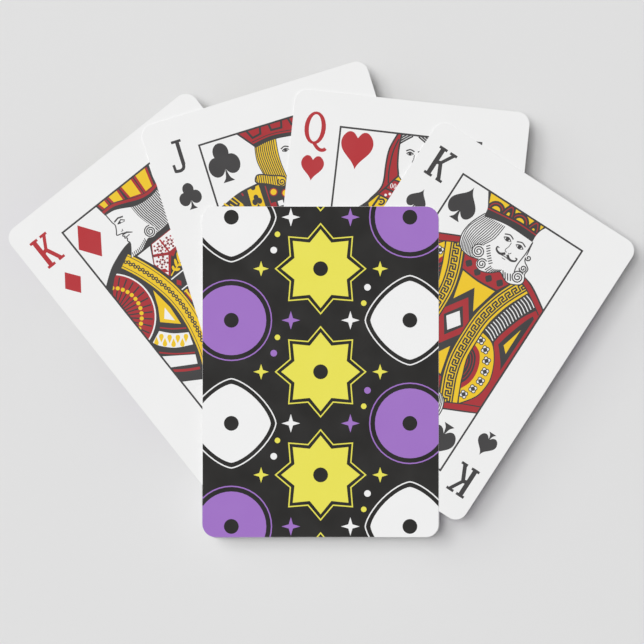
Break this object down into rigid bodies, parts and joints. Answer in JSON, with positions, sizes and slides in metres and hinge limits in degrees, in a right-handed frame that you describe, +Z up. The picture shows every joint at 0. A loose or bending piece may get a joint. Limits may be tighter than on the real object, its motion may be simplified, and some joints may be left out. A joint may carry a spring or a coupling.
{
  "type": "playing card deck",
  "caption": "Pack of poker-size playing cards lying face down, with court cards fanned out face up under its top card; every card turns about the pinch point.",
  "frame": {"origin": "middle of the underside of the squared pack, on the surface that it lies on", "axes": "+Z up out of the pile, +X across the width of the pack's cards, +Y along their length towards the heads of the fanned cards"},
  "size_m": [0.1683, 0.1282, 0.0161],
  "materials": {
    "card_face": "satin",
    "card_back": "satin"
  },
  "bodies": {
    "ace_of_hearts": {"ace_of_hearts": "card_back"},
    "king_of_diamonds": {"king_of_diamonds": "card_face"},
    "jack_of_clubs": {"jack_of_clubs": "card_face"},
    "queen_of_hearts": {"queen_of_hearts": "card_face"},
    "king_of_spades": {"king_of_spades": "card_face"},
    "ace_of_spades": {"ace_of_spades": "card_back"},
    "two_of_hearts": {"two_of_hearts": "card_back"},
    "three_of_hearts": {"three_of_hearts": "card_back"},
    "four_of_hearts": {"four_of_hearts": "card_back"},
    "five_of_hearts": {"five_of_hearts": "card_back"},
    "six_of_hearts": {"six_of_hearts": "card_back"},
    "seven_of_hearts": {"seven_of_hearts": "card_back"},
    "eight_of_hearts": {"eight_of_hearts": "card_back"},
    "nine_of_hearts": {"nine_of_hearts": "card_back"},
    "ten_of_hearts": {"ten_of_hearts": "card_back"},
    "jack_of_hearts": {"jack_of_hearts": "card_back"},
    "king_of_hearts": {"king_of_hearts": "card_back"},
    "ace_of_clubs": {"ace_of_clubs": "card_back"},
    "two_of_clubs": {"two_of_clubs": "card_back"},
    "three_of_clubs": {"three_of_clubs": "card_back"},
    "four_of_clubs": {"four_of_clubs": "card_back"},
    "five_of_clubs": {"five_of_clubs": "card_back"},
    "six_of_clubs": {"six_of_clubs": "card_back"},
    "seven_of_clubs": {"seven_of_clubs": "card_back"},
    "eight_of_clubs": {"eight_of_clubs": "card_back"},
    "nine_of_clubs": {"nine_of_clubs": "card_back"},
    "ten_of_clubs": {"ten_of_clubs": "card_back"},
    "queen_of_clubs": {"queen_of_clubs": "card_back"},
    "king_of_clubs": {"king_of_clubs": "card_back"},
    "ace_of_diamonds": {"ace_of_diamonds": "card_back"},
    "two_of_diamonds": {"two_of_diamonds": "card_back"},
    "three_of_diamonds": {"three_of_diamonds": "card_back"},
    "four_of_diamonds": {"four_of_diamonds": "card_back"},
    "five_of_diamonds": {"five_of_diamonds": "card_back"},
    "six_of_diamonds": {"six_of_diamonds": "card_back"},
    "seven_of_diamonds": {"seven_of_diamonds": "card_back"},
    "eight_of_diamonds": {"eight_of_diamonds": "card_back"},
    "nine_of_diamonds": {"nine_of_diamonds": "card_back"},
    "ten_of_diamonds": {"ten_of_diamonds": "card_back"},
    "jack_of_diamonds": {"jack_of_diamonds": "card_back"},
    "queen_of_diamonds": {"queen_of_diamonds": "card_back"},
    "two_of_spades": {"two_of_spades": "card_back"},
    "three_of_spades": {"three_of_spades": "card_back"},
    "four_of_spades": {"four_of_spades": "card_back"},
    "five_of_spades": {"five_of_spades": "card_back"},
    "six_of_spades": {"six_of_spades": "card_back"},
    "seven_of_spades": {"seven_of_spades": "card_back"},
    "eight_of_spades": {"eight_of_spades": "card_back"},
    "nine_of_spades": {"nine_of_spades": "card_back"},
    "ten_of_spades": {"ten_of_spades": "card_back"},
    "jack_of_spades": {"jack_of_spades": "card_back"},
    "queen_of_spades": {"queen_of_spades": "card_back"}
  },
  "joints": [
    {"name": "fan_king_of_diamonds", "type": "hinge", "parent": "ace_of_hearts", "child": "king_of_diamonds", "pos_m": [-0.0028, -0.0286, 0.01457], "axis": [0, 0, 1], "range_deg": [-128.6, 51.4]},
    {"name": "fan_jack_of_clubs", "type": "hinge", "parent": "ace_of_hearts", "child": "jack_of_clubs", "pos_m": [-0.0028, -0.0286, 0.01488], "axis": [0, 0, 1], "range_deg": [-107.2, 72.8]},
    {"name": "fan_queen_of_hearts", "type": "hinge", "parent": "ace_of_hearts", "child": "queen_of_hearts", "pos_m": [-0.0028, -0.0286, 0.01519], "axis": [0, 0, 1], "range_deg": [-84, 96]},
    {"name": "fan_king_of_spades", "type": "hinge", "parent": "ace_of_hearts", "child": "king_of_spades", "pos_m": [-0.0028, -0.0286, 0.0155], "axis": [0, 0, 1], "range_deg": [-57.1, 122.9]},
    {"name": "fan_ace_of_spades", "type": "hinge", "parent": "ace_of_hearts", "child": "ace_of_spades", "pos_m": [-0.0028, -0.0286, 0.01581], "axis": [0, 0, 1], "range_deg": [-90, 90]},
    {"name": "turn_two_of_hearts", "type": "hinge", "parent": "ace_of_hearts", "child": "two_of_hearts", "pos_m": [-0.0028, -0.0286, 0.00031], "axis": [0, 0, 1], "range_deg": [-90, 90]},
    {"name": "turn_three_of_hearts", "type": "hinge", "parent": "ace_of_hearts", "child": "three_of_hearts", "pos_m": [-0.0028, -0.0286, 0.00062], "axis": [0, 0, 1], "range_deg": [-90, 90]},
    {"name": "turn_four_of_hearts", "type": "hinge", "parent": "ace_of_hearts", "child": "four_of_hearts", "pos_m": [-0.0028, -0.0286, 0.00093], "axis": [0, 0, 1], "range_deg": [-90, 90]},
    {"name": "turn_five_of_hearts", "type": "hinge", "parent": "ace_of_hearts", "child": "five_of_hearts", "pos_m": [-0.0028, -0.0286, 0.00124], "axis": [0, 0, 1], "range_deg": [-90, 90]},
    {"name": "turn_six_of_hearts", "type": "hinge", "parent": "ace_of_hearts", "child": "six_of_hearts", "pos_m": [-0.0028, -0.0286, 0.00155], "axis": [0, 0, 1], "range_deg": [-90, 90]},
    {"name": "turn_seven_of_hearts", "type": "hinge", "parent": "ace_of_hearts", "child": "seven_of_hearts", "pos_m": [-0.0028, -0.0286, 0.00186], "axis": [0, 0, 1], "range_deg": [-90, 90]},
    {"name": "turn_eight_of_hearts", "type": "hinge", "parent": "ace_of_hearts", "child": "eight_of_hearts", "pos_m": [-0.0028, -0.0286, 0.00217], "axis": [0, 0, 1], "range_deg": [-90, 90]},
    {"name": "turn_nine_of_hearts", "type": "hinge", "parent": "ace_of_hearts", "child": "nine_of_hearts", "pos_m": [-0.0028, -0.0286, 0.00248], "axis": [0, 0, 1], "range_deg": [-90, 90]},
    {"name": "turn_ten_of_hearts", "type": "hinge", "parent": "ace_of_hearts", "child": "ten_of_hearts", "pos_m": [-0.0028, -0.0286, 0.00279], "axis": [0, 0, 1], "range_deg": [-90, 90]},
    {"name": "turn_jack_of_hearts", "type": "hinge", "parent": "ace_of_hearts", "child": "jack_of_hearts", "pos_m": [-0.0028, -0.0286, 0.0031], "axis": [0, 0, 1], "range_deg": [-90, 90]},
    {"name": "turn_king_of_hearts", "type": "hinge", "parent": "ace_of_hearts", "child": "king_of_hearts", "pos_m": [-0.0028, -0.0286, 0.00341], "axis": [0, 0, 1], "range_deg": [-90, 90]},
    {"name": "turn_ace_of_clubs", "type": "hinge", "parent": "ace_of_hearts", "child": "ace_of_clubs", "pos_m": [-0.0028, -0.0286, 0.00372], "axis": [0, 0, 1], "range_deg": [-90, 90]},
    {"name": "turn_two_of_clubs", "type": "hinge", "parent": "ace_of_hearts", "child": "two_of_clubs", "pos_m": [-0.0028, -0.0286, 0.00403], "axis": [0, 0, 1], "range_deg": [-90, 90]},
    {"name": "turn_three_of_clubs", "type": "hinge", "parent": "ace_of_hearts", "child": "three_of_clubs", "pos_m": [-0.0028, -0.0286, 0.00434], "axis": [0, 0, 1], "range_deg": [-90, 90]},
    {"name": "turn_four_of_clubs", "type": "hinge", "parent": "ace_of_hearts", "child": "four_of_clubs", "pos_m": [-0.0028, -0.0286, 0.00465], "axis": [0, 0, 1], "range_deg": [-90, 90]},
    {"name": "turn_five_of_clubs", "type": "hinge", "parent": "ace_of_hearts", "child": "five_of_clubs", "pos_m": [-0.0028, -0.0286, 0.00496], "axis": [0, 0, 1], "range_deg": [-90, 90]},
    {"name": "turn_six_of_clubs", "type": "hinge", "parent": "ace_of_hearts", "child": "six_of_clubs", "pos_m": [-0.0028, -0.0286, 0.00527], "axis": [0, 0, 1], "range_deg": [-90, 90]},
    {"name": "turn_seven_of_clubs", "type": "hinge", "parent": "ace_of_hearts", "child": "seven_of_clubs", "pos_m": [-0.0028, -0.0286, 0.00558], "axis": [0, 0, 1], "range_deg": [-90, 90]},
    {"name": "turn_eight_of_clubs", "type": "hinge", "parent": "ace_of_hearts", "child": "eight_of_clubs", "pos_m": [-0.0028, -0.0286, 0.00589], "axis": [0, 0, 1], "range_deg": [-90, 90]},
    {"name": "turn_nine_of_clubs", "type": "hinge", "parent": "ace_of_hearts", "child": "nine_of_clubs", "pos_m": [-0.0028, -0.0286, 0.0062], "axis": [0, 0, 1], "range_deg": [-90, 90]},
    {"name": "turn_ten_of_clubs", "type": "hinge", "parent": "ace_of_hearts", "child": "ten_of_clubs", "pos_m": [-0.0028, -0.0286, 0.00651], "axis": [0, 0, 1], "range_deg": [-90, 90]},
    {"name": "turn_queen_of_clubs", "type": "hinge", "parent": "ace_of_hearts", "child": "queen_of_clubs", "pos_m": [-0.0028, -0.0286, 0.00682], "axis": [0, 0, 1], "range_deg": [-90, 90]},
    {"name": "turn_king_of_clubs", "type": "hinge", "parent": "ace_of_hearts", "child": "king_of_clubs", "pos_m": [-0.0028, -0.0286, 0.00713], "axis": [0, 0, 1], "range_deg": [-90, 90]},
    {"name": "turn_ace_of_diamonds", "type": "hinge", "parent": "ace_of_hearts", "child": "ace_of_diamonds", "pos_m": [-0.0028, -0.0286, 0.00744], "axis": [0, 0, 1], "range_deg": [-90, 90]},
    {"name": "turn_two_of_diamonds", "type": "hinge", "parent": "ace_of_hearts", "child": "two_of_diamonds", "pos_m": [-0.0028, -0.0286, 0.00775], "axis": [0, 0, 1], "range_deg": [-90, 90]},
    {"name": "turn_three_of_diamonds", "type": "hinge", "parent": "ace_of_hearts", "child": "three_of_diamonds", "pos_m": [-0.0028, -0.0286, 0.00806], "axis": [0, 0, 1], "range_deg": [-90, 90]},
    {"name": "turn_four_of_diamonds", "type": "hinge", "parent": "ace_of_hearts", "child": "four_of_diamonds", "pos_m": [-0.0028, -0.0286, 0.00837], "axis": [0, 0, 1], "range_deg": [-90, 90]},
    {"name": "turn_five_of_diamonds", "type": "hinge", "parent": "ace_of_hearts", "child": "five_of_diamonds", "pos_m": [-0.0028, -0.0286, 0.00868], "axis": [0, 0, 1], "range_deg": [-90, 90]},
    {"name": "turn_six_of_diamonds", "type": "hinge", "parent": "ace_of_hearts", "child": "six_of_diamonds", "pos_m": [-0.0028, -0.0286, 0.00899], "axis": [0, 0, 1], "range_deg": [-90, 90]},
    {"name": "turn_seven_of_diamonds", "type": "hinge", "parent": "ace_of_hearts", "child": "seven_of_diamonds", "pos_m": [-0.0028, -0.0286, 0.0093], "axis": [0, 0, 1], "range_deg": [-90, 90]},
    {"name": "turn_eight_of_diamonds", "type": "hinge", "parent": "ace_of_hearts", "child": "eight_of_diamonds", "pos_m": [-0.0028, -0.0286, 0.00961], "axis": [0, 0, 1], "range_deg": [-90, 90]},
    {"name": "turn_nine_of_diamonds", "type": "hinge", "parent": "ace_of_hearts", "child": "nine_of_diamonds", "pos_m": [-0.0028, -0.0286, 0.00992], "axis": [0, 0, 1], "range_deg": [-90, 90]},
    {"name": "turn_ten_of_diamonds", "type": "hinge", "parent": "ace_of_hearts", "child": "ten_of_diamonds", "pos_m": [-0.0028, -0.0286, 0.01023], "axis": [0, 0, 1], "range_deg": [-90, 90]},
    {"name": "turn_jack_of_diamonds", "type": "hinge", "parent": "ace_of_hearts", "child": "jack_of_diamonds", "pos_m": [-0.0028, -0.0286, 0.01054], "axis": [0, 0, 1], "range_deg": [-90, 90]},
    {"name": "turn_queen_of_diamonds", "type": "hinge", "parent": "ace_of_hearts", "child": "queen_of_diamonds", "pos_m": [-0.0028, -0.0286, 0.01085], "axis": [0, 0, 1], "range_deg": [-90, 90]},
    {"name": "turn_two_of_spades", "type": "hinge", "parent": "ace_of_hearts", "child": "two_of_spades", "pos_m": [-0.0028, -0.0286, 0.01116], "axis": [0, 0, 1], "range_deg": [-90, 90]},
    {"name": "turn_three_of_spades", "type": "hinge", "parent": "ace_of_hearts", "child": "three_of_spades", "pos_m": [-0.0028, -0.0286, 0.01147], "axis": [0, 0, 1], "range_deg": [-90, 90]},
    {"name": "turn_four_of_spades", "type": "hinge", "parent": "ace_of_hearts", "child": "four_of_spades", "pos_m": [-0.0028, -0.0286, 0.01178], "axis": [0, 0, 1], "range_deg": [-90, 90]},
    {"name": "turn_five_of_spades", "type": "hinge", "parent": "ace_of_hearts", "child": "five_of_spades", "pos_m": [-0.0028, -0.0286, 0.01209], "axis": [0, 0, 1], "range_deg": [-90, 90]},
    {"name": "turn_six_of_spades", "type": "hinge", "parent": "ace_of_hearts", "child": "six_of_spades", "pos_m": [-0.0028, -0.0286, 0.0124], "axis": [0, 0, 1], "range_deg": [-90, 90]},
    {"name": "turn_seven_of_spades", "type": "hinge", "parent": "ace_of_hearts", "child": "seven_of_spades", "pos_m": [-0.0028, -0.0286, 0.01271], "axis": [0, 0, 1], "range_deg": [-90, 90]},
    {"name": "turn_eight_of_spades", "type": "hinge", "parent": "ace_of_hearts", "child": "eight_of_spades", "pos_m": [-0.0028, -0.0286, 0.01302], "axis": [0, 0, 1], "range_deg": [-90, 90]},
    {"name": "turn_nine_of_spades", "type": "hinge", "parent": "ace_of_hearts", "child": "nine_of_spades", "pos_m": [-0.0028, -0.0286, 0.01333], "axis": [0, 0, 1], "range_deg": [-90, 90]},
    {"name": "turn_ten_of_spades", "type": "hinge", "parent": "ace_of_hearts", "child": "ten_of_spades", "pos_m": [-0.0028, -0.0286, 0.01364], "axis": [0, 0, 1], "range_deg": [-90, 90]},
    {"name": "turn_jack_of_spades", "type": "hinge", "parent": "ace_of_hearts", "child": "jack_of_spades", "pos_m": [-0.0028, -0.0286, 0.01395], "axis": [0, 0, 1], "range_deg": [-90, 90]},
    {"name": "turn_queen_of_spades", "type": "hinge", "parent": "ace_of_hearts", "child": "queen_of_spades", "pos_m": [-0.0028, -0.0286, 0.01426], "axis": [0, 0, 1], "range_deg": [-90, 90]}
  ]
}
